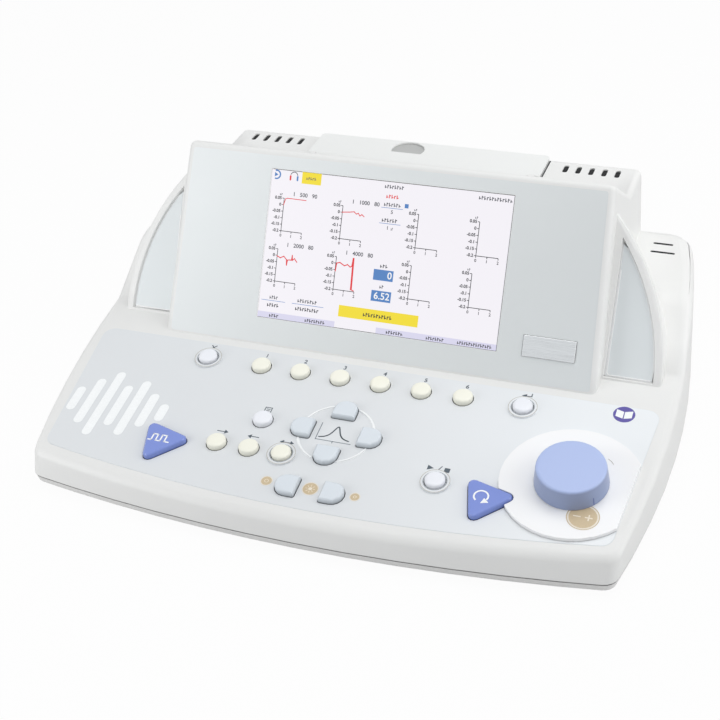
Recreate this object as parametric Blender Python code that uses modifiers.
"""Bench-top tympanometer: a two-shell casing with a sloping key deck, a leaning screen hood,
side fairings, a dial on a raised disc and a paper printer under a hinged rear cover.

Metres, +Z up. The instrument stands on z = 0, faces -Y and is centred on x = 0 and y = 0.
Places on the deck and on the screen face are given across and up those sloping faces.
"""
import math

import bmesh
import bpy
from mathutils import Matrix, Vector

# Casing, overall
casing_width = 0.370
casing_depth = 0.272
front_corner_set_in = 0.0125
rear_corner_set_in = 0.0150
front_corner_span = casing_width - 2 * front_corner_set_in
rear_corner_span = casing_width - 2 * rear_corner_set_in
front_bow = 0.0148
front_corner_radius = 0.009
rear_corner_radius = 0.016
front_lean = math.radians(20.0)
side_draft = math.radians(2.0)
skirt_rise = 0.020
wall = 0.0025
fit_gap = 0.0003
overrun = 0.004

# Tray under the parting line
foot_height = 0.004
tray_height = 0.005
tray_taper = 0.0012
parting_gap = 0.0006
lip_thickness = 0.0015
lip_height = 0.0040
lip_clearance = 0.0004

# Key deck, measured from the row of function keys
deck_slope = math.radians(10.0)
key_row_from_front = 0.1133
key_row_height = 0.040
deck_edge_radius = 0.004

# Screen hood and the lower printer block behind it
face_lean = math.radians(28.0)
screen_behind_row = 0.0481
screen_height = 0.0985
face_above_screen = 0.0581
hood_side_set_in = 0.0517
hood_top_width = casing_width - 2 * hood_side_set_in
hood_draft = math.radians(2.2)
hood_top_slope = math.radians(33.0)
block_height = 0.1205
block_set_in = 0.001
hood_edge_radius = 0.0038
hood_root_height = 0.020

# Shoulders beside the hood
ramp_behind_row = 0.042
ramp_slope = math.radians(38.0)
ramp_foot_radius = 0.010
shoulder_height = 0.0795
shoulder_break_radius = 0.022
shoulder_edge_radius = 0.0085

# Sail-shaped fairings on both sides of the hood
sail_behind_row = 0.0325
sail_arc_inside_hood = 0.1023
sail_arc_centre = hood_top_width / 2 - sail_arc_inside_hood
sail_arc_radius = 0.141
sail_back_arc_inside_hood = 0.0750
sail_back_arc_centre = hood_top_width / 2 - sail_back_arc_inside_hood
sail_back_arc_radius = 0.1137
sail_root_inside_hood = 0.0053
sail_root_half_width = hood_top_width / 2 - sail_root_inside_hood
sail_depth = 0.026
sail_below_deck = 0.012
sail_edge_radius = 0.0022
sail_rim = 0.0048
sail_recess_depth = 0.0030
sail_recess_taper = 0.0010
sail_recess_foot = 0.0012
sail_recess_foot_off_hood = 0.0046
sail_recess_tip_off_hood = 0.0057
sail_recess_inner_foot = hood_top_width / 2 + sail_recess_foot_off_hood
sail_recess_inner_tip = hood_top_width / 2 + sail_recess_tip_off_hood
sail_panel_thickness = 0.0012
sail_panel_clearance = 0.0004

# Display
display_width = 0.1524
display_height = 0.09144
window_set_back = 0.0006
lcd_margin = 0.006
lcd_thickness = 0.007
bracket_size = (0.186, 0.104)
bracket_corner_radius = 0.003
bracket_thickness = 0.0015
bracket_boss_radius = 0.003
bracket_boss_place = (0.088, 0.044)

# Badge plate, left bare
badge_width = 0.031
badge_height = 0.0123
badge_thickness = 0.0012
badge_recess = 0.0006
badge_off_middle = 0.0022
badge_right_of_screen = (display_width + hood_top_width) / 4 + badge_off_middle
badge_below_screen = 0.0397

# Overlay sheet on the deck
overlay_thickness = 0.0005
overlay_recess = 0.0006
overlay_back_set_in = 0.0092
overlay_front_set_in = 0.0049
overlay_back_span = casing_width - 2 * overlay_back_set_in
overlay_front_span = front_corner_span - 2 * overlay_front_set_in
overlay_behind_row = 0.0135
overlay_front_drop = 0.1018
overlay_corner_radius = 0.007

# Keys
key_pitch = 0.0254
function_key_count = 6
key_radius = 0.0059
key_height = 0.0034
key_crown = 0.0010
key_clearance = 0.0005
key_flange_width = 0.0016
key_flange_thickness = 0.0012
guard_width = 0.0021
guard_height = 0.0011
outer_key_offset = 0.0990
print_key_place = (-0.0458, -0.0425)
mode_key_places = ((-0.0658, -0.0657), (-0.0455, -0.0657), (-0.0253, -0.0657))
arrow_centre_drop = 0.0433
arrow_reach_across = 0.0209
arrow_reach_along = 0.0182
arrow_ring_radius = 0.0220
arrow_ring_width = 0.0009
arrow_ring_height = 0.0004
petal_width = 0.0140
petal_depth = 0.0130
petal_root_radius = 0.0010
petal_tip_radius = 0.0066
lower_key_offset = 0.0138
lower_key_drop = 0.0877
triangle_reach = 0.0182
triangle_corner_radius = 0.0032
triangle_turn = math.radians(15.0)
left_triangle_place = (-0.0982, -0.0723)

# Dial
dial_from_overlay_side = 0.0370
dial_below_row = 0.0510
start_key_from_dial = 0.0726
start_key_below_row = 0.0660
right_triangle_from_dial = 0.0425
right_triangle_below_row = 0.0727
dial_place = (overlay_back_span / 2 - dial_from_overlay_side, -dial_below_row)
start_key_place = (dial_place[0] - start_key_from_dial, -start_key_below_row)
right_triangle_place = (dial_place[0] - right_triangle_from_dial, -right_triangle_below_row)
dial_disc_radius = 0.0395
dial_disc_height = 0.0023
dial_base_radius = 0.0204
dial_top_radius = 0.0192
dial_height = 0.0125
dial_edge_radius = 0.0013
shaft_radius = 0.003
shaft_in_knob = 0.009
shaft_in_encoder = 0.004
encoder_radius = 0.0085
encoder_depth = 0.0065
bushing_radius = 0.0046

# Paper printer
cover_width = 0.1530
cover_thickness = 0.0022
cover_rear_margin = 0.0022
cover_corner_radius = 0.003
hinge_behind_crease = 0.0040
hinge_radius = 0.0018
hinge_front_clearance = 0.0012
hinge_half_width = 0.0694
hinge_lug_thickness = 0.0035
hinge_pin_radius = 0.00075
hinge_pin_clearance = 0.00025
notch_radius = 0.0108
notch_offset = -0.0140
notch_from_rear = 0.0137
notch_depth = 0.0013
bucket_half_width = 0.0640
bucket_wall = 0.002
bucket_behind_hinge = 0.0020
bucket_height = 0.0440
paper_exit_half_width = 0.0585
paper_exit_depth = 0.0010
platen_radius = 0.004
platen_half_width = 0.0570
platen_axle_radius = 0.0016
platen_drop = 0.0065
arm_thickness = 0.002
arm_depth = 0.0060
head_depth = 0.0022
head_height = 0.0060
roll_radius = 0.0105
roll_half_width = 0.056
roll_bore_radius = 0.0045
roll_drop = 0.0330
spindle_radius = 0.004
spindle_pin_radius = 0.002

# Boards and modules inside
board_thickness = 0.0016
board_corner_radius = 0.001
keypad_board_drop = 0.0053
keypad_board_left = -0.1220
keypad_board_from_dial = 0.0223
keypad_board_right = dial_place[0] - keypad_board_from_dial
keypad_board_front = -0.0975
keypad_board_back = 0.0105
keypad_boss_radius = 0.0028
keypad_boss_inset = 0.0115
keypad_boss_places = ((-0.116, -0.015), (0.0, -0.0120), (keypad_board_right - keypad_boss_inset, -0.0220),
                      (-0.1160, -0.0440), (-0.0460, -0.0900), (0.0460, -0.0900))
main_board_side_room = 0.170
main_board_depth = 0.110
main_board_size = (casing_width - main_board_side_room, main_board_depth)
main_board_place = (0.020, 0.060)
main_board_height = 0.0120
board_post_radius = 0.003
board_post_inset = 0.006
chip_size = (0.024, 0.024, 0.0025)
chip_offset_shares = ((-0.26, 0.11), (0.05, 0.16), (0.30, -0.13))
supply_size = (0.055, 0.100, 0.030)
supply_from_side = 0.0670
supply_y = 0.0920
supply_place = (supply_from_side - casing_width / 2, supply_y)
box_edge_radius = 0.0015
pump_size = (0.030, 0.026, 0.020)
pump_motor_radius = 0.0095
pump_motor_length = 0.022
pump_from_side = 0.0400
pump_y = 0.0790
pump_place = (casing_width / 2 - pump_from_side, pump_y)
manifold_size = (0.026, 0.020, 0.018)
manifold_from_side = 0.0570
manifold_y = 0.1320
manifold_place = (casing_width / 2 - manifold_from_side, manifold_y)
tube_radius = 0.0022
tube_steps = 24
tube_lead = 0.047
tube_end_lead = 0.016
speaker_radius = 0.020
speaker_cone_radius = 0.010
speaker_rim = 0.0025
speaker_height = 0.008
speaker_place = (0.060, -0.055)
speaker_slot_count = 5
speaker_slot_pitch = 0.0055
speaker_slot_size = (0.024, 0.0022)

# Rear connectors
panel_width = 0.140
panel_height = 0.038
panel_thickness = 0.0015
panel_centre_height = 0.0340
panel_lap = 0.004
panel_corner_radius = 0.003
inlet_offset = -0.050
inlet_width = 0.027
inlet_height = 0.020
inlet_depth = 0.020
inlet_flange = 0.002
flange_thickness = 0.0012
inlet_wall = 0.0022
inlet_socket_depth = 0.015
switch_offset = -0.021
switch_cavity = (0.0126, 0.0192)
switch_wall = 0.0015
switch_depth = 0.010
switch_tilt = math.radians(8.0)
rocker_size = (0.0110, 0.0168)
rocker_rise = 0.0012
rocker_dish = 0.0012
rocker_depth = 0.0040
rocker_foot_share = 0.44
rocker_pivot_depth = 0.0020
rocker_stub_radius = 0.0010
rocker_stub_length = 0.0018
probe_offset = 0.012
phones_offset = 0.044
socket_radius = 0.0072
socket_flange_radius = 0.0095
socket_depth = 0.014
probe_bore_radius = 0.0045
probe_spigot_radius = 0.0028
probe_spigot_length = 0.004
phones_bore_radius = 0.0033
socket_floor = 0.002

# Vents
top_vent_count = 5
top_vent_pitch = 0.0081
top_vents_inside_hood = 0.0283
top_vent_offset = hood_top_width / 2 - top_vents_inside_hood
top_vent_size = (0.0032, 0.0097)
top_vent_from_rear = 0.0127
shoulder_vent_lengths = (0.0122, 0.0150)
shoulder_vent_width = 0.0022
shoulder_vents_off_hood = 0.0134
shoulder_vent_start = hood_top_width / 2 + shoulder_vents_off_hood
shoulder_vent_pitch = 0.0106
shoulder_vent_from_rear = 0.0197
slot_end_share = 0.45

# Feet, screws and pillars
foot_radius = 0.009
foot_seat_depth = 0.0008
foot_edge_radius = 0.001
foot_from_side = 0.043
foot_from_middle = casing_width / 2 - foot_from_side
foot_from_front = 0.052
foot_from_rear = 0.034
screw_head_radius = 0.003
screw_head_height = 0.002
screw_shaft_radius = 0.0015
screw_pocket_depth = 0.0030
pillar_radius = 0.0045
pillar_joint_height = 0.0150
screw_reach = 0.0060
screw_front_from_side = 0.037
screw_rear_from_side = 0.030
screw_front_offset = casing_width / 2 - screw_front_from_side
screw_rear_offset = casing_width / 2 - screw_rear_from_side
screw_from_front = 0.034
screw_from_rear = 0.048

# How many straight steps stand for one round
round_steps = 20
key_steps = 16
small_round_steps = 10
dial_steps = 36
corner_steps = 4
bow_steps = 12
side_steps = 9
sail_steps = 12
rim_steps = 3

# Places that follow from the sizes above
front_y = -casing_depth / 2
rear_y = casing_depth / 2
row_y = front_y + key_row_from_front
parting_z = foot_height + tray_height
floor_z = foot_height + wall
face_direction = Vector((math.sin(face_lean), math.cos(face_lean)))
screen_yz = Vector((row_y + screen_behind_row, screen_height))
face_top = screen_yz + face_direction * face_above_screen
crease_y = face_top.x + (face_top.y - block_height) / math.tan(hood_top_slope)
hinge_y = crease_y + hinge_behind_crease
hinge_z = block_height + fit_gap + hinge_radius
block_rear_y = rear_y - block_set_in
bucket_top_z = block_height - wall - fit_gap
bucket_front_y = hinge_y + bucket_behind_hinge
bucket_rear_y = block_rear_y - wall - fit_gap
bay_front_y = bucket_front_y + bucket_wall
bay_rear_y = bucket_rear_y - bucket_wall
platen_y = bay_rear_y - head_depth - fit_gap - platen_radius
platen_z = block_height - platen_drop
roll_y = bay_front_y + fit_gap + roll_radius
roll_z = block_height - roll_drop
key_flange_top = -wall - fit_gap
key_flange_bottom = key_flange_top - key_flange_thickness
overlay_bottom = fit_gap - overlay_recess
overlay_top = overlay_bottom + overlay_thickness
disc_top = overlay_top + dial_disc_height
bracket_front = -wall - fit_gap - lcd_thickness - fit_gap
rear_face_y = rear_y - wall - fit_gap
sideways = Matrix.Rotation(math.radians(90.0), 4, "Y")
forwards = Matrix.Rotation(math.radians(90.0), 4, "X")


def new_collection(name):
    collection = bpy.data.collections.new(name)
    bpy.context.scene.collection.children.link(collection)
    return collection


for old in list(bpy.data.objects):
    bpy.data.objects.remove(old, do_unlink=True)

parts = new_collection("tympanometer")
guides = new_collection("frames")
shell_tools = new_collection("casing_forms")
inner_forms = new_collection("casing_hollows")
key_holes = new_collection("key_holes")
casing_bosses = new_collection("casing_bosses")
casing_cuts = new_collection("casing_cuts")
tray_bosses = new_collection("tray_bosses")
tray_cuts = new_collection("tray_cuts")
overlay_ribs = new_collection("overlay_ribs")
panel_cuts = new_collection("panel_cuts")


def finish(name, colour, roughness, metallic=0.0):
    made = bpy.data.materials.new(name)
    made.use_nodes = True
    shader = made.node_tree.nodes["Principled BSDF"]
    shader.inputs["Base Color"].default_value = (*colour, 1.0)
    shader.inputs["Roughness"].default_value = roughness
    shader.inputs["Metallic"].default_value = metallic
    return made


casing_white = finish("casing_white", (0.86, 0.86, 0.85), 0.45)
overlay_grey = finish("overlay_grey", (0.71, 0.75, 0.76), 0.40)
panel_grey = finish("panel_grey", (0.63, 0.66, 0.67), 0.50)
key_cream = finish("key_cream", (0.95, 0.94, 0.84), 0.40)
key_grey = finish("key_grey", (0.72, 0.73, 0.80), 0.40)
key_blue = finish("key_blue", (0.16, 0.20, 0.60), 0.30)
dial_blue = finish("dial_blue", (0.33, 0.42, 0.78), 0.45)
disc_white = finish("disc_white", (0.93, 0.93, 0.93), 0.35)
window_clear = finish("window_clear", (0.92, 0.91, 0.96), 0.10)
brushed_metal = finish("brushed_metal", (0.60, 0.61, 0.62), 0.35, 1.0)
steel = finish("steel", (0.55, 0.55, 0.56), 0.35, 1.0)
brass = finish("brass", (0.75, 0.58, 0.28), 0.35, 1.0)
board_green = finish("board_green", (0.05, 0.25, 0.12), 0.50)
dark_plastic = finish("dark_plastic", (0.05, 0.05, 0.055), 0.50)
rubber = finish("rubber", (0.06, 0.06, 0.06), 0.85)
paper = finish("paper", (0.93, 0.93, 0.90), 0.90)
tube_silicone = finish("tube_silicone", (0.75, 0.76, 0.76), 0.50)


def frame_at(name, place, tilt=0.0):
    """An empty: x runs across, y runs up a sloping face and z stands out of it."""
    empty = bpy.data.objects.new(name, None)
    empty.matrix_world = Matrix.Translation(place) @ Matrix.Rotation(tilt, 4, "X")
    guides.objects.link(empty)
    return empty


upright = math.radians(90.0) - face_lean
sail_foot_height = key_row_height + sail_behind_row * math.tan(deck_slope)
deck_frame = frame_at("deck_frame", (0.0, row_y, key_row_height), deck_slope)
face_frame = frame_at("face_frame", (0.0, *screen_yz), upright)
sail_frame = frame_at("sail_frame", (0.0, row_y + sail_behind_row, sail_foot_height), upright)
rear_frame = frame_at("rear_frame", (0.0, rear_face_y, panel_centre_height), math.radians(-90.0))
block_frame = frame_at("block_frame", (0.0, 0.0, block_height))
hinge_frame = frame_at("hinge_frame", (0.0, hinge_y, hinge_z))


def mesh_from(bm, name):
    bmesh.ops.recalc_face_normals(bm, faces=bm.faces)
    mesh = bpy.data.meshes.new(name)
    bm.to_mesh(mesh)
    bm.free()
    return mesh


def place_object(name, mesh, look=None, frame=None, place=(0.0, 0.0, 0.0), tilt=None, tools=None):
    """Stand a mesh in a frame, as a part with its finish or as a tool of a collection."""
    made = bpy.data.objects.new(name, mesh)
    made.matrix_basis = Matrix.Translation(place) @ (tilt or Matrix.Identity(4))
    made.parent = frame
    (tools or parts).objects.link(made)
    if look:
        mesh.materials.append(look)
        mesh.shade_smooth()
        mesh.set_sharp_from_angle(angle=math.radians(30.0))
    if tools:
        made.hide_render = True
        made.display_type = "WIRE"
    return made


def tool(mesh, frame=None, place=(0.0, 0.0, 0.0), tilt=None, tools=None):
    return place_object(mesh.name, mesh, None, frame, place, tilt, tools or shell_tools)


def evaluated_mesh(shape):
    bpy.context.view_layer.update()
    depsgraph = bpy.context.evaluated_depsgraph_get()
    return bpy.data.meshes.new_from_object(shape.evaluated_get(depsgraph))


def combine(shape, tools, operation):
    """Cut, join or intersect a shape with an object or with all tools of a collection."""
    step = shape.modifiers.new(tools.name, "BOOLEAN")
    step.operation = operation
    step.solver = "EXACT"
    if isinstance(tools, bpy.types.Collection):
        step.operand_type = "COLLECTION"
        step.collection = tools
    else:
        step.object = tools


def rounded(corners, steps=corner_steps):
    """An outline from (x, y, radius) corners, with an arc wherever the radius isn't zero."""
    outline = []
    for index, (x, y, radius) in enumerate(corners):
        here = Vector((x, y))
        if not radius:
            outline.append(here)
            continue
        before = (Vector(corners[index - 1][:2]) - here).normalized()
        after = (Vector(corners[(index + 1) % len(corners)][:2]) - here).normalized()
        half = before.angle(after) / 2
        centre = here + (before + after).normalized() * radius / math.sin(half)
        arm = here + before * radius / math.tan(half) - centre
        sweep = math.copysign(math.pi - 2 * half, after.cross(before))
        for step in range(steps + 1):
            outline.append(centre + Matrix.Rotation(sweep * step / steps, 2) @ arm)
    return outline


def grown(outline, distance):
    """An outline that runs anticlockwise, moved outwards square to its sides."""
    moved = []
    for index, point in enumerate(outline):
        first = (point - outline[index - 1]).normalized()
        second = (outline[(index + 1) % len(outline)] - point).normalized()
        first_out = Vector((first.y, -first.x))
        second_out = Vector((second.y, -second.x))
        out = (first_out + second_out).normalized()
        moved.append(point + out * distance / out.dot(first_out))
    return moved


def stacked(name, levels):
    """A closed solid through levels of (height, outline); all outlines have as many points."""
    bm = bmesh.new()
    height, outline = levels[0]
    ring = [bm.verts.new((*point, height)) for point in outline]
    face = bm.faces.new(ring)
    for height, outline in levels[1:]:
        raised = bmesh.ops.extrude_face_region(bm, geom=[face])["geom"]
        if len(bm.verts) > 2 * len(ring):
            bmesh.ops.delete(bm, geom=[face], context="FACES_ONLY")
        face = next(item for item in raised if isinstance(item, bmesh.types.BMFace))
        corners = list(face.verts)
        places = [corner.co.copy() for corner in ring]
        ring = [min(corners, key=lambda corner: (corner.co - old).length_squared) for old in places]
        for corner, point in zip(ring, outline):
            corner.co = (*point, height)
    return mesh_from(bm, name)


def raised_shape(name, outline, steps):
    """A solid over one outline that grows or shrinks with height: steps of (height, growth)."""
    return stacked(name, [(height, grown(outline, growth)) for height, growth in steps])


def slab(name, outline, bottom, top):
    return stacked(name, [(bottom, outline), (top, outline)])


def rectangle(width, height, radius=0.0, centre=(0.0, 0.0)):
    x, y = centre
    return rounded([(x - width / 2, y - height / 2, radius), (x + width / 2, y - height / 2, radius),
                    (x + width / 2, y + height / 2, radius), (x - width / 2, y + height / 2, radius)])


def circle(radius, steps=round_steps):
    turns = [2 * math.pi * step / steps for step in range(steps)]
    return [Vector((math.cos(turn), math.sin(turn))) * radius for turn in turns]


def mirrored(outline):
    """The outline on the other side of x = 0, still anticlockwise."""
    return [Vector((-point.x, point.y)) for point in reversed(outline)]


def across(name, outline, half_width):
    """A solid over an outline of (y, z) points, reaching half_width(z) to each side."""
    bm = bmesh.new()
    face = bm.faces.new([bm.verts.new((-half_width(z), y, z)) for y, z in outline])
    raised = bmesh.ops.extrude_face_region(bm, geom=[face])["geom"]
    for item in raised:
        if isinstance(item, bmesh.types.BMVert):
            item.co.x = half_width(item.co.z)
    return mesh_from(bm, name)


def turned(name, profile, look=None, frame=None, place=(0.0, 0.0, 0.0), tilt=None, tools=None,
           steps=round_steps):
    """A turned piece from (radius, height) points that run down its outer side."""
    closed = profile[0] == profile[-1]
    points = [(radius, 0.0, height) for radius, height in (profile[:-1] if closed else profile)]
    edges = [(index, (index + 1) % len(points)) for index in range(len(profile) - 1)]
    mesh = bpy.data.meshes.new(name)
    mesh.from_pydata(points, edges, [])
    made = place_object(name, mesh, look, frame, place, tilt, tools)
    screw = made.modifiers.new("turning", "SCREW")
    screw.steps = steps
    screw.render_steps = steps
    screw.use_merge_vertices = True
    screw.merge_threshold = 0.00001
    screw.use_smooth_shade = True
    return made


def rod_profile(radius, top, bottom):
    return [(0.0, top), (radius, top), (radius, bottom), (0.0, bottom)]


def stepped_rod(radius, half_length, pin_radius, pin_end):
    return [(0.0, pin_end), (pin_radius, pin_end), (pin_radius, half_length), (radius, half_length),
            (radius, -half_length), (pin_radius, -half_length), (pin_radius, -pin_end), (0.0, -pin_end)]


def box_mesh(name, size, centre=(0.0, 0.0, 0.0), edge_radius=0.0):
    bm = bmesh.new()
    bmesh.ops.create_cube(bm, size=1.0)
    bmesh.ops.scale(bm, vec=size, verts=bm.verts)
    bmesh.ops.translate(bm, vec=centre, verts=bm.verts)
    if edge_radius:
        bmesh.ops.bevel(bm, geom=bm.edges, offset=edge_radius, segments=1, affect="EDGES")
    return mesh_from(bm, name)


def sharp_outward_edges(bm, above):
    """The edges above a height that stand outwards and turn by more than a corner step."""
    bm.normal_update()
    found = []
    for edge in bm.edges:
        middle = (edge.verts[0].co + edge.verts[1].co) / 2
        if middle.z > above and edge.is_convex and edge.calc_face_angle() > math.radians(30.0):
            found.append((edge, middle))
    return found


# Heights and lines of the casing


def deck_height(y):
    return key_row_height + (y - row_y) * math.tan(deck_slope)


def bowed(position, half_span, bulge):
    """How far an arc stands out from its chord at a position along the chord."""
    radius = (half_span ** 2 + bulge ** 2) / (2 * bulge)
    return math.sqrt(radius ** 2 - position ** 2) - radius + bulge


def front_line(x):
    return front_y + front_bow - bowed(x, front_corner_span / 2, front_bow)


def side_line(y):
    """The casing's half width at the parting line."""
    corner_y = front_y + front_bow
    half = (rear_y - corner_y) / 2
    share = (y - corner_y) / (2 * half)
    chord = (front_corner_span * (1 - share) + rear_corner_span * share) / 2
    bulge = casing_width / 2 - (front_corner_span + rear_corner_span) / 4
    return chord + bowed(min(y - corner_y - half, half), half, bulge)


def plan_outline(rise, inset=0.0):
    """The casing in plan at a rise above the parting line, drawn in by an inset."""
    back = min(rise, skirt_rise) * math.tan(front_lean) + inset / math.cos(front_lean)
    inward = max(rise, 0.0) * math.tan(side_draft) + inset
    corner_y = front_y + front_bow + max(back, 0.0)
    corner_x = side_line(corner_y) - inward
    corners = []
    for step in range(bow_steps + 1):
        x = corner_x * (2 * step / bow_steps - 1)
        radius = front_corner_radius - inset if step in (0, bow_steps) else 0.0
        corners.append((x, front_line(x) + back, radius))
    side = []
    for step in range(1, side_steps + 1):
        y = corner_y + (rear_y - inset - corner_y) * step / side_steps
        radius = rear_corner_radius - inset if step == side_steps else 0.0
        side.append((side_line(y) - inward, y, radius))
    corners += side
    corners += [(-x, y, radius) for x, y, radius in reversed(side)]
    return rounded(corners)


def side_profile(inset=0.0):
    """Deck, ramp and shoulder seen from the side, drawn in by an inset, as (y, z) points."""
    ramp_y = row_y + ramp_behind_row
    foot_z = deck_height(ramp_y)
    top_y = ramp_y + (shoulder_height - foot_z) / math.tan(ramp_slope)
    far = casing_depth
    return grown(rounded([(-far, -far, 0.0), (far, -far, 0.0), (far, shoulder_height, 0.0),
                          (top_y, shoulder_height, shoulder_break_radius),
                          (ramp_y, foot_z, ramp_foot_radius), (-far, deck_height(-far), 0.0)]), -inset)


def hood_profile(inset=0.0):
    """Screen face, falling top and printer block seen from the side, as (y, z) points."""
    root = screen_yz + face_direction * (hood_root_height - screen_height) / face_direction.y
    outline = [root, Vector((block_rear_y, hood_root_height)), Vector((block_rear_y, block_height)),
               Vector((crease_y, block_height)), face_top]
    return grown(outline, -inset)


def hood_half_width(z):
    return hood_top_width / 2 + (face_top.y - z) * math.tan(hood_draft)


def sail_outline(centre, radius):
    """A fairing's edge seen square to its face, from inside the hood out to its arc."""
    last = math.acos((sail_root_half_width - centre) / radius)
    outline = [Vector((sail_root_half_width, -sail_below_deck)),
               Vector((centre + radius, -sail_below_deck))]
    for step in range(sail_steps + 1):
        turn = last * step / sail_steps
        outline.append(Vector((centre + radius * math.cos(turn), radius * math.sin(turn))))
    return outline


def recess_outline(inset=0.0):
    """The hollow in the right fairing, which the grey panel lies in."""
    radius = sail_arc_radius - sail_rim
    foot_turn = math.asin(sail_recess_foot / radius)
    tip_turn = math.acos((sail_recess_inner_tip - sail_arc_centre) / radius)
    outline = [Vector((sail_recess_inner_foot, sail_recess_foot))]
    for step in range(sail_steps + 1):
        turn = foot_turn + (tip_turn - foot_turn) * step / sail_steps
        outline.append(Vector((sail_arc_centre + radius * math.cos(turn), radius * math.sin(turn))))
    return grown(outline, -inset)


# Upper casing


def body_form(name, inset, bottom_rise):
    """The casing below the hood, as a solid that is drawn in by an inset."""
    levels = [(parting_z + rise, plan_outline(rise, inset))
              for rise in (bottom_rise, skirt_rise, shoulder_height)]
    body = tool(stacked(name, levels))
    profile = across(name + "_profile", side_profile(inset), lambda z: casing_width)
    combine(body, tool(profile), "INTERSECT")
    return evaluated_mesh(body)


def edge_roundness(middle):
    """The share of the widest edge radius at a place, from the deck up to the shoulders."""
    low = deck_edge_radius / shoulder_edge_radius
    deck_z = deck_height(row_y + ramp_behind_row)
    climb = (middle.z - deck_z) / (shoulder_height - deck_z)
    return low + (1 - low) * min(max(climb, 0.0), 1.0)


def split_across_ramp(bm):
    """Cut the mesh across at every bend of the ramp, so that the rim can widen step by step."""
    lowest = deck_height(row_y + ramp_behind_row - ramp_foot_radius)
    farthest = row_y + ramp_behind_row + shoulder_height
    places = {round(vert.co.y, 5) for vert in bm.verts if vert.co.z > lowest and vert.co.y < farthest}
    for y in sorted(places):
        geometry = bm.verts[:] + bm.edges[:] + bm.faces[:]
        bmesh.ops.bisect_plane(bm, geom=geometry, plane_co=(0.0, y, 0.0), plane_no=(0.0, 1.0, 0.0),
                               dist=fit_gap)


def soften_body(body):
    """Round the rim of the deck and, more widely, that of the shoulders."""
    bm = bmesh.new()
    bm.from_mesh(body.data)
    split_across_ramp(bm)
    weights = bm.edges.layers.float.new("bevel_weight_edge")
    for edge, middle in sharp_outward_edges(bm, parting_z + fit_gap):
        edge[weights] = edge_roundness(middle)
    bm.to_mesh(body.data)
    bm.free()
    bevel = body.modifiers.new("rim", "BEVEL")
    bevel.limit_method = "WEIGHT"
    bevel.offset_type = "OFFSET"
    bevel.width = shoulder_edge_radius
    bevel.segments = rim_steps
    bevel.use_clamp_overlap = False


def hood_form(name, inset, tools):
    mesh = across(name, hood_profile(inset), lambda z: hood_half_width(z) - inset)
    if not inset:
        bm = bmesh.new()
        bm.from_mesh(mesh)
        edges = [edge for edge, middle in sharp_outward_edges(bm, hood_root_height + wall)]
        bmesh.ops.bevel(bm, geom=edges, offset=hood_edge_radius, segments=rim_steps, profile=0.5,
                        affect="EDGES", clamp_overlap=False)
        bm.to_mesh(mesh)
        bm.free()
    return tool(mesh, tools=tools)


def sail_form(name, side, tools, inset=0.0):
    """One fairing: a leaning slab whose outer edge falls back to a flatter arc behind."""
    front = sail_outline(sail_arc_centre, sail_arc_radius - inset)
    back = sail_outline(sail_back_arc_centre, sail_back_arc_radius - inset)
    if side < 0:
        front = mirrored(front)
        back = mirrored(back)
    if inset:
        levels = [(inset - sail_depth, back), (-inset - sail_recess_depth, front)]
    else:
        edge = sail_edge_radius
        levels = [(-sail_depth, back), (-edge, front), (-edge * 0.3, grown(front, -edge * 0.3)),
                  (0.0, grown(front, -edge))]
    return tool(stacked(name, levels), sail_frame, tools=tools)


def make_upper_casing():
    """The white shell: deck, shoulders, hood and fairings in one moulding, open below."""
    shell = place_object("upper_casing", body_form("body_outside", 0.0, 0.0), casing_white)
    soften_body(shell)
    combine(shell, hood_form("hood_outside", 0.0, shell_tools), "UNION")
    for side, label in ((-1, "left"), (1, "right")):
        combine(shell, sail_form(label + "_sail", side, shell_tools), "UNION")
        sail_form(label + "_sail_hollow", side, inner_forms, wall)
    hood_form("hood_inside", wall, inner_forms)
    tool(body_form("body_hollow", wall, -overrun), tools=inner_forms)
    combine(shell, inner_forms, "DIFFERENCE")
    combine(shell, casing_bosses, "UNION")
    combine(shell, casing_cuts, "DIFFERENCE")
    combine(shell, key_holes, "DIFFERENCE")


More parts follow.
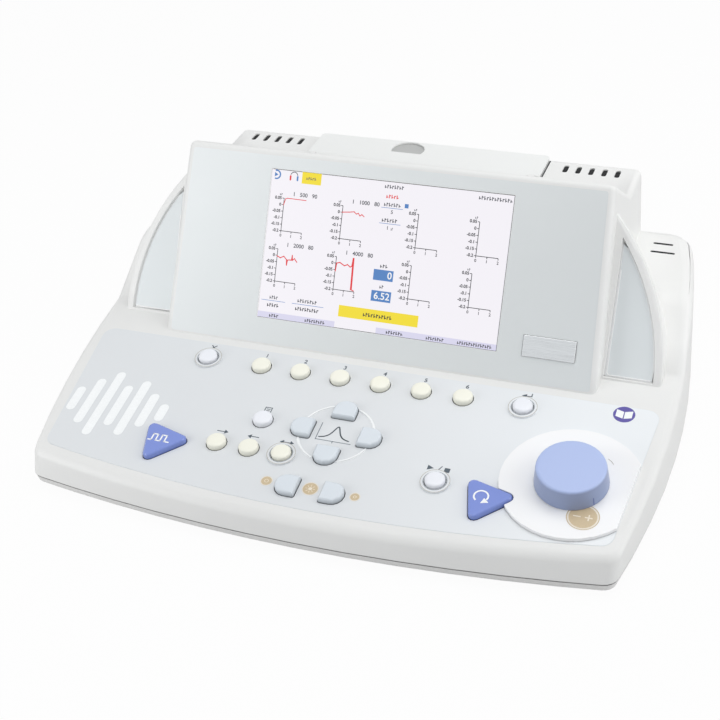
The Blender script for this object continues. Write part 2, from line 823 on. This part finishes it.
def cut_casing_openings():
    """Window, badge seat, fairing hollows, vents, printer bay and rear opening."""
    window = rectangle(display_width, display_height)
    tool(slab("window_cut", window, -wall - overrun, overrun), face_frame, tools=casing_cuts)
    badge = grown(badge_outline(), fit_gap)
    tool(slab("badge_cut", badge, -badge_recess, overrun), face_frame, tools=casing_cuts)
    for side in (-1, 1):
        outline = recess_outline() if side > 0 else mirrored(recess_outline())
        steps = [(-sail_recess_depth, -sail_recess_taper), (0.0, 0.0), (overrun, 0.0)]
        tool(raised_shape("recess_cut", outline, steps), sail_frame, tools=casing_cuts)
        for index in range(top_vent_count):
            x = side * (top_vent_offset + (index - (top_vent_count - 1) / 2) * top_vent_pitch)
            vent_slot(top_vent_size, (x, rear_y - top_vent_from_rear), block_height)
        for index, length in enumerate(shoulder_vent_lengths):
            y = rear_y - shoulder_vent_from_rear - index * shoulder_vent_pitch
            vent_slot((length, shoulder_vent_width), (side * (shoulder_vent_start + length / 2), y),
                      shoulder_height)
    seat = grown(overlay_outline(), fit_gap)
    tool(slab("overlay_seat", seat, -overlay_recess, overrun), deck_frame, tools=casing_cuts)
    bay = box_mesh("bay_cut", (2 * (bucket_half_width - bucket_wall), bay_rear_y - bay_front_y, 2 * overrun),
                   (0.0, (bay_front_y + bay_rear_y) / 2, 0.0))
    tool(bay, block_frame, tools=casing_cuts)
    paper_exit = box_mesh("paper_exit_cut", (2 * paper_exit_half_width, 2 * (rear_y - bay_rear_y),
                                             2 * paper_exit_depth), (0.0, rear_y, 0.0))
    tool(paper_exit, block_frame, tools=casing_cuts)
    rear_hole = rectangle(panel_width - 2 * panel_lap, panel_height - 2 * panel_lap, panel_corner_radius)
    tool(slab("rear_cut", rear_hole, -overrun, wall + overrun), rear_frame, tools=casing_cuts)
    turned("bushing_cut", rod_profile(bushing_radius + fit_gap, overrun, -wall - overrun),
           frame=deck_frame, place=(*dial_place, 0.0), tools=casing_cuts)


def vent_slot(size, place, height):
    outline = rectangle(*size, min(size) * slot_end_share, place)
    tool(slab("vent_cut", outline, height - wall - overrun, height + overrun), tools=casing_cuts)


def add_casing_bosses():
    """Screw pillars, board and bracket bosses, and the lugs of the printer cover."""
    for x, y in screw_places():
        top = (deck_height(y) if y < row_y else shoulder_height) - wall / 2
        bottom = pillar_joint_height + fit_gap
        hole_top = bottom + screw_reach
        turned("screw_boss", rod_profile(pillar_radius, top, bottom), place=(x, y, 0.0),
               tools=casing_bosses, steps=small_round_steps)
        turned("screw_boss_hole", rod_profile(screw_shaft_radius + fit_gap, hole_top, bottom - overrun),
               place=(x, y, 0.0), tools=casing_cuts, steps=small_round_steps)
    for place in keypad_boss_places:
        turned("keypad_boss", rod_profile(keypad_boss_radius, -wall / 2, fit_gap - keypad_board_drop),
               frame=deck_frame, place=(*place, 0.0), tools=casing_bosses, steps=small_round_steps)
    for side in (-1, 1):
        for end in (-1, 1):
            x, y = bracket_boss_place
            turned("bracket_boss", rod_profile(bracket_boss_radius, -wall / 2, fit_gap + bracket_front),
                   frame=face_frame, place=(side * x, end * y, 0.0), tools=casing_bosses,
                   steps=small_round_steps)
        middle = side * (hinge_half_width + 2 * fit_gap + hinge_lug_thickness / 2)
        height = hinge_z + hinge_radius - block_height + wall / 2
        lug = box_mesh("hinge_lug", (hinge_lug_thickness, 2 * hinge_radius, height),
                       (middle, hinge_y, height / 2 - wall / 2))
        tool(lug, block_frame, tools=casing_bosses)
        bore = hinge_pin_radius + hinge_pin_clearance
        turned("hinge_lug_bore", rod_profile(bore, hinge_lug_thickness, -hinge_lug_thickness),
               place=(middle, hinge_y, hinge_z), tilt=sideways, tools=casing_cuts, steps=small_round_steps)


def screw_places():
    return [(side * offset, y) for side in (-1, 1)
            for offset, y in ((screw_front_offset, front_y + screw_from_front),
                              (screw_rear_offset, rear_y - screw_from_rear))]


def foot_places():
    return [(side * foot_from_middle, y) for side in (-1, 1)
            for y in (front_y + foot_from_front, rear_y - foot_from_rear)]


# Lower casing


def make_lower_casing():
    """The tray: floor, short wall, inner lip, pillars, posts and the loudspeaker grille."""
    outer = stacked("lower_casing", [(foot_height, plan_outline(0.0, tray_taper + fit_gap)),
                                     (parting_z - parting_gap, plan_outline(0.0, fit_gap))])
    tray = place_object("lower_casing", outer, casing_white)
    lip_inset = wall + lip_clearance
    lip_levels = [(foot_height + wall / 2, 0.0), (parting_z, 0.0), (parting_z + lip_height, lip_height)]
    lip = stacked("tray_lip", [(z, plan_outline(rise, lip_inset)) for z, rise in lip_levels])
    combine(tray, tool(lip), "UNION")
    inner_inset = lip_inset + lip_thickness
    hollow_levels = [(floor_z, 0.0), (parting_z, 0.0), (parting_z + 2 * lip_height, 2 * lip_height)]
    hollow = stacked("tray_hollow", [(z, plan_outline(rise, inner_inset)) for z, rise in hollow_levels])
    combine(tray, tool(hollow), "DIFFERENCE")
    combine(tray, tray_bosses, "UNION")
    combine(tray, tray_cuts, "DIFFERENCE")


def add_tray_details():
    bottom = floor_z - wall / 2
    for x, y in screw_places():
        turned("pillar", rod_profile(pillar_radius, pillar_joint_height, bottom), place=(x, y, 0.0),
               tools=tray_bosses, steps=small_round_steps)
        pocket_top = foot_height + screw_pocket_depth
        shaft_hole = screw_shaft_radius + fit_gap
        head_hole = screw_head_radius + fit_gap
        hole = [(0.0, pillar_joint_height + overrun), (shaft_hole, pillar_joint_height + overrun),
                (shaft_hole, pocket_top), (head_hole, pocket_top), (head_hole, foot_height - overrun),
                (0.0, foot_height - overrun)]
        turned("screw_hole", hole, place=(x, y, 0.0), tools=tray_cuts, steps=small_round_steps)
    for x, y in foot_places():
        seat = rod_profile(foot_radius + fit_gap, foot_height + foot_seat_depth, foot_height - overrun)
        turned("foot_seat", seat, place=(x, y, 0.0), tools=tray_cuts)
    for x, y in board_corners():
        turned("board_post", rod_profile(board_post_radius, main_board_height - fit_gap, bottom),
               place=(x, y, 0.0), tools=tray_bosses, steps=small_round_steps)
    for index in range(speaker_slot_count):
        x, y = speaker_place
        y += row_y + (index - (speaker_slot_count - 1) / 2) * speaker_slot_pitch
        outline = rectangle(*speaker_slot_size, min(speaker_slot_size) * slot_end_share, (x, y))
        tool(slab("speaker_slot", outline, foot_height - overrun, floor_z + overrun), tools=tray_cuts)


def make_feet_and_screws():
    labels = ("front_left", "rear_left", "front_right", "rear_right")
    for label, (x, y) in zip(labels, foot_places()):
        top = foot_height + foot_seat_depth - fit_gap
        profile = [(0.0, top), (foot_radius, top), (foot_radius, foot_edge_radius),
                   (foot_radius - foot_edge_radius, 0.0), (0.0, 0.0)]
        turned("foot_" + label, profile, rubber, place=(x, y, 0.0))
    for label, (x, y) in zip(labels, screw_places()):
        head_top = foot_height + screw_pocket_depth - fit_gap
        head_bottom = head_top - screw_head_height
        tip = pillar_joint_height + screw_reach
        profile = [(0.0, tip), (screw_shaft_radius, tip), (screw_shaft_radius, head_top),
                   (screw_head_radius, head_top), (screw_head_radius, head_bottom), (0.0, head_bottom)]
        turned("screw_" + label, profile, steel, place=(x, y, 0.0), steps=small_round_steps)


# Overlay, disc and dial


def overlay_outline():
    """The printed sheet on the deck, in deck coordinates."""
    half_front = overlay_front_span / 2
    half_back = overlay_back_span / 2
    corners = []
    for step in range(bow_steps + 1):
        x = half_front * (2 * step / bow_steps - 1)
        radius = overlay_corner_radius if step in (0, bow_steps) else 0.0
        corners.append((x, front_line(x) - front_y - overlay_front_drop, radius))
    corners.append((half_back, overlay_behind_row, overlay_corner_radius))
    corners.append((-half_back, overlay_behind_row, overlay_corner_radius))
    return rounded(corners)


def make_overlay():
    outline = slab("membrane_overlay", overlay_outline(), overlay_bottom, overlay_top)
    sheet = place_object("membrane_overlay", outline, overlay_grey, deck_frame)
    ring_places = [(-outer_key_offset, 0.0), (outer_key_offset, 0.0), mode_key_places[2], start_key_place]
    outer = key_radius + key_clearance + guard_width
    for place in ring_places:
        turned("guard_ring", rod_profile(outer, overlay_top + guard_height, overlay_bottom / 2),
               frame=deck_frame, place=(*place, 0.0), tools=overlay_ribs)
    ring_outer = arrow_ring_radius + arrow_ring_width / 2
    ring_inner = arrow_ring_radius - arrow_ring_width / 2
    top = overlay_top + arrow_ring_height
    ring = [(ring_inner, top), (ring_outer, top), (ring_outer, overlay_bottom / 2),
            (ring_inner, overlay_bottom / 2), (ring_inner, top)]
    turned("arrow_ring", ring, frame=deck_frame, place=(0.0, -arrow_centre_drop, 0.0),
           tools=overlay_ribs, steps=dial_steps)
    combine(sheet, overlay_ribs, "UNION")
    disc_hole = turned("disc_hole", rod_profile(dial_disc_radius + fit_gap, overrun, -overrun),
                       frame=deck_frame, place=(*dial_place, 0.0), tools=shell_tools, steps=dial_steps)
    combine(sheet, disc_hole, "DIFFERENCE")
    combine(sheet, key_holes, "DIFFERENCE")


def make_disc():
    """The round plate under the dial, cut off along the overlay's right edge."""
    disc = turned("dial_disc", rod_profile(dial_disc_radius, disc_top, overlay_bottom), disc_white,
                  deck_frame, (*dial_place, 0.0), steps=dial_steps)
    border = slab("disc_border", overlay_outline(), -overrun, overrun)
    combine(disc, tool(border, deck_frame), "INTERSECT")
    combine(disc, key_holes.objects["reset_key_hole"], "DIFFERENCE")
    bore = turned("disc_bore", rod_profile(bushing_radius + fit_gap, overrun, -overrun),
                  frame=deck_frame, place=(*dial_place, 0.0), tools=shell_tools)
    combine(disc, bore, "DIFFERENCE")


def make_dial():
    """Knob, its shaft and the encoder that the shaft turns in, under the deck."""
    base = disc_top + fit_gap
    top = base + dial_height
    edge = dial_edge_radius
    bore = shaft_radius + fit_gap / 2
    bore_end = base + shaft_in_knob + fit_gap
    knob = [(0.0, top), (dial_top_radius - edge, top), (dial_top_radius - edge * 0.3, top - edge * 0.3),
            (dial_top_radius, top - edge), (dial_base_radius, base), (bore, base), (bore, bore_end),
            (0.0, bore_end)]
    turned("dial_knob", knob, dial_blue, deck_frame, (*dial_place, 0.0), steps=dial_steps)
    encoder_top = -wall - fit_gap
    shaft_end = encoder_top - shaft_in_encoder
    turned("dial_shaft", rod_profile(shaft_radius, base + shaft_in_knob, shaft_end), steel, deck_frame,
           (*dial_place, 0.0), steps=small_round_steps)
    hole = shaft_radius + fit_gap
    encoder_bottom = encoder_top - encoder_depth
    encoder = [(0.0, shaft_end - fit_gap), (hole, shaft_end - fit_gap), (hole, disc_top),
               (bushing_radius, disc_top), (bushing_radius, encoder_top), (encoder_radius, encoder_top),
               (encoder_radius, encoder_bottom), (0.0, encoder_bottom)]
    turned("dial_encoder", encoder, brushed_metal, deck_frame, (*dial_place, 0.0))


# Keys


def key_hole(name, outline, place, turn=0.0):
    hole = slab(name + "_hole", grown(outline, key_clearance), -wall - overrun, overrun)
    tool(hole, deck_frame, (*place, 0.0), Matrix.Rotation(turn, 4, "Z"), key_holes)


def round_key(name, place, look):
    flange = key_radius + key_flange_width
    profile = [(0.0, key_height), (key_radius - key_crown, key_height),
               (key_radius, key_height - key_crown), (key_radius, key_flange_top),
               (flange, key_flange_top), (flange, key_flange_bottom), (0.0, key_flange_bottom)]
    turned(name, profile, look, deck_frame, (*place, 0.0), steps=key_steps)
    key_hole(name, circle(key_radius, key_steps), place)


def shaped_key(name, outline, place, turn, look):
    steps = [(key_flange_bottom, key_flange_width), (key_flange_top, key_flange_width),
             (key_flange_top, 0.0), (key_height - key_crown, 0.0), (key_height, -key_crown)]
    place_object(name, raised_shape(name, outline, steps), look, deck_frame, (*place, 0.0),
                 Matrix.Rotation(turn, 4, "Z"))
    key_hole(name, outline, place, turn)


def petal_outline():
    """A tongue-shaped key: a flat root and a round tip that points to +y."""
    half = petal_width / 2
    root = -petal_depth / 2
    tip = petal_depth / 2
    return rounded([(-half, root, petal_root_radius), (half, root, petal_root_radius),
                    (half, tip, petal_tip_radius), (-half, tip, petal_tip_radius)])


def triangle_outline():
    """A triangular key with round corners, one of which points to +x."""
    turns = [2 * math.pi * step / 3 for step in range(3)]
    return rounded([(triangle_reach * math.cos(turn), triangle_reach * math.sin(turn),
                     triangle_corner_radius) for turn in turns])


def make_keys():
    for index in range(function_key_count):
        x = (index - (function_key_count - 1) / 2) * key_pitch
        round_key("function_key_" + str(index + 1), (x, 0.0), key_cream)
    round_key("escape_key", (-outer_key_offset, 0.0), key_grey)
    round_key("enter_key", (outer_key_offset, 0.0), key_grey)
    round_key("print_key", print_key_place, key_grey)
    for index, place in enumerate(mode_key_places):
        round_key("mode_key_" + str(index + 1), place, key_cream)
    round_key("start_stop_key", start_key_place, key_grey)
    arrows = (("up", 0.0, arrow_reach_along), ("left", 90.0, arrow_reach_across),
              ("down", 180.0, arrow_reach_along), ("right", 270.0, arrow_reach_across))
    for label, degrees, reach in arrows:
        turn = math.radians(degrees)
        place = (-reach * math.sin(turn), reach * math.cos(turn) - arrow_centre_drop)
        shaped_key("arrow_key_" + label, petal_outline(), place, turn, key_grey)
    for label, side in (("left", -1), ("right", 1)):
        turn = math.radians(-90.0 * side)
        shaped_key("lower_key_" + label, petal_outline(), (side * lower_key_offset, -lower_key_drop),
                   turn, key_grey)
    shaped_key("signal_key", triangle_outline(), left_triangle_place, triangle_turn, key_blue)
    shaped_key("reset_key", triangle_outline(), right_triangle_place, triangle_turn, key_blue)


# Display


def make_display():
    window = rectangle(display_width - 2 * fit_gap, display_height - 2 * fit_gap)
    place_object("screen_window", slab("screen_window", window, -wall, -window_set_back), window_clear,
                 face_frame)
    size = (display_width + 2 * lcd_margin, display_height + 2 * lcd_margin, lcd_thickness)
    centre = (0.0, 0.0, -wall - fit_gap - lcd_thickness / 2)
    place_object("lcd_module", box_mesh("lcd_module", size, centre, box_edge_radius / 2), dark_plastic,
                 face_frame)
    bracket = slab("lcd_bracket", rectangle(*bracket_size, bracket_corner_radius),
                   bracket_front - bracket_thickness, bracket_front)
    place_object("lcd_bracket", bracket, brushed_metal, face_frame)


def badge_outline():
    return rectangle(badge_width, badge_height, centre=(badge_right_of_screen, -badge_below_screen))


def make_face_trim():
    bottom = fit_gap - badge_recess
    steps = [(bottom, 0.0), (bottom + badge_thickness - fit_gap, 0.0), (bottom + badge_thickness, -fit_gap)]
    place_object("badge_plate", raised_shape("badge_plate", badge_outline(), steps), brushed_metal, face_frame)
    for side, name in ((-1, "left_wing_panel"), (1, "right_wing_panel")):
        outline = recess_outline(sail_recess_taper + sail_panel_clearance)
        if side < 0:
            outline = mirrored(outline)
        bottom = fit_gap - sail_recess_depth
        panel = slab(name, outline, bottom, bottom + sail_panel_thickness)
        place_object(name, panel, panel_grey, sail_frame)


# Printer


def make_printer_cover():
    """The flap over the paper bay, with its hinge barrel and two arms for the platen."""
    rear = rear_y - cover_rear_margin - hinge_y
    front = hinge_radius + hinge_front_clearance
    half = cover_width / 2
    top = cover_thickness - hinge_radius
    outline = rounded([(-half, front, 0.0), (-hinge_half_width, front, 0.0), (-hinge_half_width, 0.0, 0.0),
                       (hinge_half_width, 0.0, 0.0), (hinge_half_width, front, 0.0), (half, front, 0.0),
                       (half, rear, cover_corner_radius), (-half, rear, cover_corner_radius)])
    cover = place_object("printer_cover", slab("printer_cover", outline, -hinge_radius, top), casing_white,
                         hinge_frame)
    barrel = turned("hinge_barrel", rod_profile(hinge_radius, hinge_half_width, -hinge_half_width),
                    frame=hinge_frame, tilt=sideways, tools=shell_tools, steps=small_round_steps)
    combine(cover, barrel, "UNION")
    arm_x = platen_half_width + fit_gap + arm_thickness / 2
    arm_bottom = platen_z - platen_radius - hinge_z
    arm_height = top - cover_thickness / 2 - arm_bottom
    for side in (-1, 1):
        arm = box_mesh("platen_arm", (arm_thickness, arm_depth, arm_height),
                       (side * arm_x, platen_y - hinge_y, arm_bottom + arm_height / 2))
        combine(cover, tool(arm, hinge_frame), "UNION")
    reach = bucket_half_width
    bore = turned("platen_arm_bore", rod_profile(platen_axle_radius + fit_gap, reach, -reach),
                  frame=hinge_frame, place=(0.0, platen_y - hinge_y, platen_z - hinge_z), tilt=sideways,
                  tools=shell_tools, steps=small_round_steps)
    combine(cover, bore, "DIFFERENCE")
    pin_bore = turned("hinge_bore", rod_profile(hinge_pin_radius + hinge_pin_clearance, 2 * reach, -2 * reach),
                      frame=hinge_frame, tilt=sideways, tools=shell_tools, steps=small_round_steps)
    combine(cover, pin_bore, "DIFFERENCE")
    notch = turned("finger_notch", rod_profile(notch_radius, overrun, -notch_depth), frame=hinge_frame,
                   place=(notch_offset, rear_y - notch_from_rear - hinge_y, top), tools=shell_tools)
    combine(cover, notch, "DIFFERENCE")
    pin_end = hinge_half_width + 2 * fit_gap + hinge_lug_thickness
    turned("cover_hinge_pin", rod_profile(hinge_pin_radius, pin_end, -pin_end), steel, hinge_frame,
           tilt=sideways, steps=small_round_steps)


def make_printer_bucket():
    """The paper bucket with its print head bar, the platen, the roll and its spindle."""
    middle_y = (bucket_rear_y + bucket_front_y) / 2
    bottom = bucket_top_z - bucket_height
    outer = rectangle(2 * bucket_half_width, bucket_rear_y - bucket_front_y, centre=(0.0, middle_y))
    bucket = place_object("printer_bucket", slab("printer_bucket", outer, bottom, bucket_top_z), dark_plastic)
    hollow = slab("bucket_hollow", grown(outer, -bucket_wall), bottom + bucket_wall, bucket_top_z + overrun)
    combine(bucket, tool(hollow), "DIFFERENCE")
    head = box_mesh("print_head_bar", (2 * platen_half_width, head_depth + bucket_wall / 2, head_height),
                    (0.0, bay_rear_y - head_depth / 2 + bucket_wall / 4, platen_z - head_height / 2))
    combine(bucket, tool(head), "UNION")
    reach = bucket_half_width + overrun
    bore = turned("spindle_bore", rod_profile(spindle_pin_radius + fit_gap, reach, -reach),
                  place=(0.0, roll_y, roll_z), tilt=sideways, tools=shell_tools, steps=small_round_steps)
    combine(bucket, bore, "DIFFERENCE")
    body_end = bucket_half_width - bucket_wall - fit_gap
    spindle = stepped_rod(spindle_radius, body_end, spindle_pin_radius, bucket_half_width - fit_gap)
    turned("paper_spindle", spindle, dark_plastic, place=(0.0, roll_y, roll_z), tilt=sideways,
           steps=small_round_steps)
    tube = [(roll_bore_radius, roll_half_width), (roll_radius, roll_half_width),
            (roll_radius, -roll_half_width), (roll_bore_radius, -roll_half_width),
            (roll_bore_radius, roll_half_width)]
    turned("paper_roll", tube, paper, place=(0.0, roll_y, roll_z), tilt=sideways)
    axle_end = platen_half_width + fit_gap + arm_thickness
    platen = stepped_rod(platen_radius, platen_half_width, platen_axle_radius, axle_end)
    turned("platen_roller", platen, rubber, place=(0.0, platen_y, platen_z), tilt=sideways,
           steps=small_round_steps)


# Boards and modules inside


def board_corners():
    width, depth = main_board_size
    x, y = main_board_place
    half_x = width / 2 - board_post_inset
    half_y = depth / 2 - board_post_inset
    return [(x + side * half_x, row_y + y + end * half_y) for side in (-1, 1) for end in (-1, 1)]


def make_boards():
    centre = ((keypad_board_right + keypad_board_left) / 2, (keypad_board_back + keypad_board_front) / 2)
    outline = rectangle(keypad_board_right - keypad_board_left, keypad_board_back - keypad_board_front,
                        board_corner_radius, centre)
    top = -keypad_board_drop
    place_object("keypad_board", slab("keypad_board", outline, top - board_thickness, top), board_green,
                 deck_frame)
    x, y = main_board_place
    outline = rectangle(*main_board_size, board_corner_radius, (x, row_y + y))
    top = main_board_height + board_thickness
    board = place_object("main_board", slab("main_board", outline, main_board_height, top), board_green)
    rise = (chip_size[2] - board_thickness / 2) / 2
    for share_x, share_y in chip_offset_shares:
        middle = (x + share_x * main_board_size[0], row_y + y + share_y * main_board_size[1], top + rise)
        chip = box_mesh("chip", chip_size, middle)
        combine(board, tool(chip), "UNION")


def make_modules():
    """Power supply, pump, manifold and loudspeaker, all standing on the tray's floor."""
    base = floor_z + fit_gap
    x, y = supply_place
    supply = box_mesh("power_supply", supply_size, (x, row_y + y, base + supply_size[2] / 2), box_edge_radius)
    place_object("power_supply", supply, brushed_metal)
    x, y = pump_place
    centre = (x, row_y + y, base + pump_size[2] / 2)
    pump = place_object("air_pump", box_mesh("air_pump", pump_size, centre, box_edge_radius), steel)
    motor = turned("pump_motor", rod_profile(pump_motor_radius, pump_motor_length + pump_size[1] / 2, 0.0),
                   place=centre, tilt=forwards, tools=shell_tools)
    combine(pump, motor, "UNION")
    x, y = manifold_place
    centre = (x, row_y + y, base + manifold_size[2] / 2)
    manifold = box_mesh("pressure_manifold", manifold_size, centre, box_edge_radius)
    place_object("pressure_manifold", manifold, dark_plastic)
    x, y = speaker_place
    profile = [(0.0, base + speaker_height), (speaker_cone_radius, base + speaker_height),
               (speaker_radius, base + speaker_rim), (speaker_radius, base), (0.0, base)]
    turned("speaker", profile, dark_plastic, place=(x, row_y + y, 0.0))


def make_air_tube():
    """The tube from the manifold's side to the spigot behind the probe socket."""
    x, y = manifold_place
    start = Vector((x - manifold_size[0] / 2 - fit_gap, row_y + y, floor_z + fit_gap + manifold_size[2] / 2))
    end = Vector((probe_offset, rear_face_y - socket_depth - probe_spigot_length - fit_gap,
                  panel_centre_height))
    first = start + Vector((-tube_lead, 0.0, 0.0))
    last = end + Vector((0.0, -tube_end_lead, 0.0))
    curve = bpy.data.curves.new("air_tube", "CURVE")
    curve.dimensions = "3D"
    curve.bevel_depth = tube_radius
    curve.bevel_resolution = 2
    curve.use_fill_caps = True
    line = curve.splines.new("POLY")
    line.points.add(tube_steps)
    for step, point in enumerate(line.points):
        t = step / tube_steps
        place = (start * (1 - t) ** 3 + first * 3 * t * (1 - t) ** 2
                 + last * 3 * t ** 2 * (1 - t) + end * t ** 3)
        point.co = (*place, 1.0)
    curve.materials.append(tube_silicone)
    parts.objects.link(bpy.data.objects.new("air_tube", curve))


# Rear connectors


def switch_outline(growth=0.0):
    width, height = switch_cavity
    return grown(rectangle(width, height, centre=(switch_offset, 0.0)), growth)


def make_connector_panel():
    """The plate inside the rear opening, with the switch well pressed into it."""
    outline = rectangle(panel_width, panel_height, panel_corner_radius)
    panel = place_object("connector_panel", slab("connector_panel", outline, -panel_thickness, 0.0),
                         brushed_metal, rear_frame)
    well = slab("switch_well", switch_outline(switch_wall), -switch_depth, -panel_thickness / 2)
    combine(panel, tool(well, rear_frame), "UNION")
    inlet = rectangle(inlet_width + 2 * fit_gap, inlet_height + 2 * fit_gap, centre=(inlet_offset, 0.0))
    tool(slab("inlet_hole", inlet, -overrun, overrun), rear_frame, tools=panel_cuts)
    tool(slab("switch_hole", switch_outline(), switch_wall - switch_depth, overrun), rear_frame,
         tools=panel_cuts)
    for offset in (probe_offset, phones_offset):
        turned("socket_hole", rod_profile(socket_radius + fit_gap, overrun, -overrun), frame=rear_frame,
               place=(offset, 0.0, 0.0), tools=panel_cuts)
    reach = switch_cavity[0] / 2 + switch_wall + overrun
    turned("rocker_bore", rod_profile(rocker_stub_radius + fit_gap, reach, -reach), frame=rear_frame,
           place=(switch_offset, 0.0, -rocker_pivot_depth), tilt=sideways, tools=panel_cuts,
           steps=small_round_steps)
    combine(panel, panel_cuts, "DIFFERENCE")


def make_inlet():
    outline = rectangle(inlet_width, inlet_height, centre=(inlet_offset, 0.0))
    steps = [(-inlet_depth, 0.0), (fit_gap, 0.0), (fit_gap, inlet_flange),
             (fit_gap + flange_thickness, inlet_flange)]
    inlet = place_object("power_inlet", raised_shape("power_inlet", outline, steps), dark_plastic, rear_frame)
    socket = rectangle(inlet_width - 2 * inlet_wall, inlet_height - 2 * inlet_wall,
                       panel_corner_radius, (inlet_offset, 0.0))
    combine(inlet, tool(slab("inlet_hollow", socket, -inlet_socket_depth, overrun), rear_frame), "DIFFERENCE")


def make_switch():
    """A dished rocker on two stubs, lying tilted in its well."""
    width, length = rocker_size
    top = rocker_pivot_depth + rocker_rise
    foot = length * rocker_foot_share
    root = top - rocker_dish - rocker_depth
    outline = [Vector((-foot, root)), Vector((foot, root)), Vector((length / 2, top)),
               Vector((0.0, top - rocker_dish)), Vector((-length / 2, top))]
    pivot = (switch_offset, 0.0, -rocker_pivot_depth)
    tilt = Matrix.Rotation(-switch_tilt, 4, "X")
    rocker = place_object("power_switch", across("power_switch", outline, lambda z: width / 2), dark_plastic,
                          rear_frame, pivot, tilt)
    stub_end = width / 2 + rocker_stub_length
    stubs = turned("rocker_stubs", rod_profile(rocker_stub_radius, stub_end, -stub_end), frame=rear_frame,
                   place=pivot, tilt=sideways, tools=shell_tools, steps=small_round_steps)
    combine(rocker, stubs, "UNION")


def make_sockets():
    """The probe and earphone sockets: flanged barrels with a blind bore from the rear."""
    front = fit_gap + flange_thickness
    back = -socket_depth
    for name, offset, bore, look in (("probe_socket", probe_offset, probe_bore_radius, dark_plastic),
                                     ("phones_socket", phones_offset, phones_bore_radius, brass)):
        profile = [(0.0, socket_floor + back), (bore, socket_floor + back), (bore, front),
                   (socket_flange_radius, front), (socket_flange_radius, fit_gap),
                   (socket_radius, fit_gap), (socket_radius, back)]
        if name == "probe_socket":
            spigot_end = back - probe_spigot_length
            profile += [(probe_spigot_radius, back), (probe_spigot_radius, spigot_end), (0.0, spigot_end)]
        else:
            profile += [(0.0, back)]
        turned(name, profile, look, rear_frame, (offset, 0.0, 0.0))


make_keys()
cut_casing_openings()
add_casing_bosses()
add_tray_details()
make_upper_casing()
make_lower_casing()
make_feet_and_screws()
make_overlay()
make_disc()
make_dial()
make_display()
make_face_trim()
make_printer_cover()
make_printer_bucket()
make_boards()
make_modules()
make_air_tube()
make_connector_panel()
make_inlet()
make_switch()
make_sockets()
